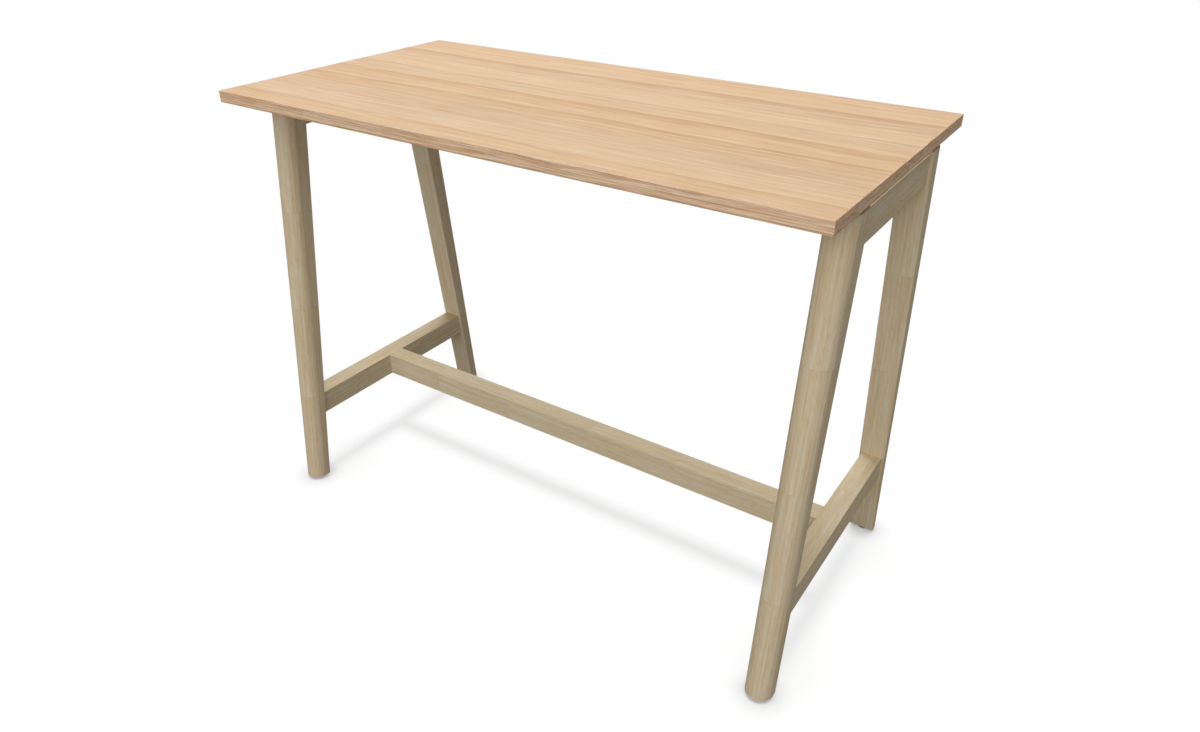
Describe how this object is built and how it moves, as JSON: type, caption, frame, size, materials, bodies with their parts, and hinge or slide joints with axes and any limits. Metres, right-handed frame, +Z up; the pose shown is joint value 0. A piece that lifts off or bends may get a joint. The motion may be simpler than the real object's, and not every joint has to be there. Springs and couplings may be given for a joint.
{
  "type": "high table",
  "caption": "Standing-height rectangular table: edge-banded board on splayed wooden end frames with rails, a footrest stretcher between them and levelling feet.",
  "frame": {"origin": "on the floor under the middle of the board, with the feet screwed right in", "axes": "+X along the table's length to the right end, +Y from the front edge to the rear edge, +Z up"},
  "size_m": [1.4, 0.7, 1.05],
  "materials": {
    "board_decor": "pale oak decor with fine grain along the length, satin",
    "edge_band": "edge band with the board's oak decor, satin",
    "frame_wood": "finger-jointed pale hardwood, matt lacquer",
    "dowel_wood": "plain beech, glued in",
    "black_plastic": "black moulded plastic",
    "zinc_steel": "zinc plated"
  },
  "bodies": {
    "frame": {"tabletop_panel": "board_decor", "footrest_stretcher": "frame_wood", "edge_band_front": "edge_band", "edge_band_rear": "edge_band", "edge_band_left": "edge_band", "edge_band_right": "edge_band", "leg_front_left": "frame_wood", "leg_front_right": "frame_wood", "leg_rear_left": "frame_wood", "leg_rear_right": "frame_wood", "upper_rail_left": "frame_wood", "lower_rail_left": "frame_wood", "upper_rail_dowels_left": "dowel_wood", "lower_rail_dowels_left": "dowel_wood", "upper_rail_right": "frame_wood", "lower_rail_right": "frame_wood", "upper_rail_dowels_right": "dowel_wood", "lower_rail_dowels_right": "dowel_wood", "stretcher_dowels": "dowel_wood", "board_spacers": "black_plastic", "board_screws": "zinc_steel", "board_washers": "zinc_steel", "board_inserts": "zinc_steel", "foot_sleeve_front_left": "zinc_steel", "foot_sleeve_front_right": "zinc_steel", "foot_sleeve_rear_left": "zinc_steel", "foot_sleeve_rear_right": "zinc_steel"},
    "foot_front_left": {"foot_pad_front_left": "black_plastic", "foot_stem_front_left": "zinc_steel"},
    "foot_front_right": {"foot_pad_front_right": "black_plastic", "foot_stem_front_right": "zinc_steel"},
    "foot_rear_left": {"foot_pad_rear_left": "black_plastic", "foot_stem_rear_left": "zinc_steel"},
    "foot_rear_right": {"foot_pad_rear_right": "black_plastic", "foot_stem_rear_right": "zinc_steel"}
  },
  "joints": [
    {"name": "foot_front_left_height", "type": "slide", "parent": "frame", "child": "foot_front_left", "axis": [0, 0, -1], "range_m": [0, 0.01]},
    {"name": "foot_front_right_height", "type": "slide", "parent": "frame", "child": "foot_front_right", "axis": [0, 0, -1], "range_m": [0, 0.01]},
    {"name": "foot_rear_left_height", "type": "slide", "parent": "frame", "child": "foot_rear_left", "axis": [0, 0, -1], "range_m": [0, 0.01]},
    {"name": "foot_rear_right_height", "type": "slide", "parent": "frame", "child": "foot_rear_right", "axis": [0, 0, -1], "range_m": [0, 0.01]}
  ]
}
